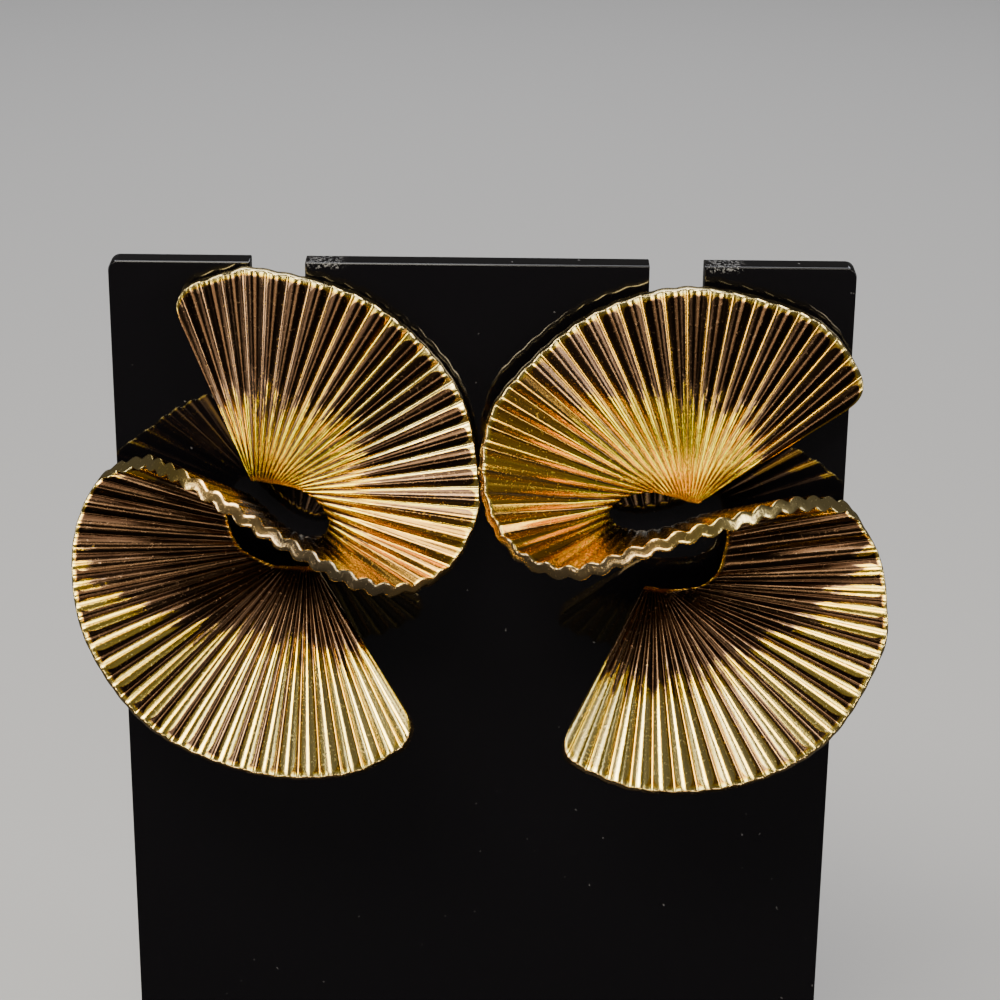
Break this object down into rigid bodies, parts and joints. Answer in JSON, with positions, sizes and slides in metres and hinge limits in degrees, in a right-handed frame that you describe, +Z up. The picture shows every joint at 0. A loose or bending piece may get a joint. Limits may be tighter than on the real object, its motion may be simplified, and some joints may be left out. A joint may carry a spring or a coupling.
{
  "type": "pair of pleated fan earrings on a notched display stand",
  "caption": "Pleated gold-tone ribbon earrings, each twisted into an upper and a lower fan, hanging in the notches of an upright black acrylic display stand.",
  "frame": {"origin": "centre of the base plate's underside", "axes": "+X to the right as seen from the front, +Y away from the viewer towards the stand's back, +Z up"},
  "size_m": [0.072, 0.044, 0.093],
  "materials": {
    "black_acrylic": "high gloss with light scuffs",
    "gold_plate": "polished gold plate",
    "clip_metal": "satin gold plate"
  },
  "bodies": {
    "root": {"stand_base": "black_acrylic", "stand_panel": "black_acrylic", "left_fan": "gold_plate", "left_clip": "clip_metal", "right_fan": "gold_plate", "right_clip": "clip_metal"}
  },
  "joints": []
}
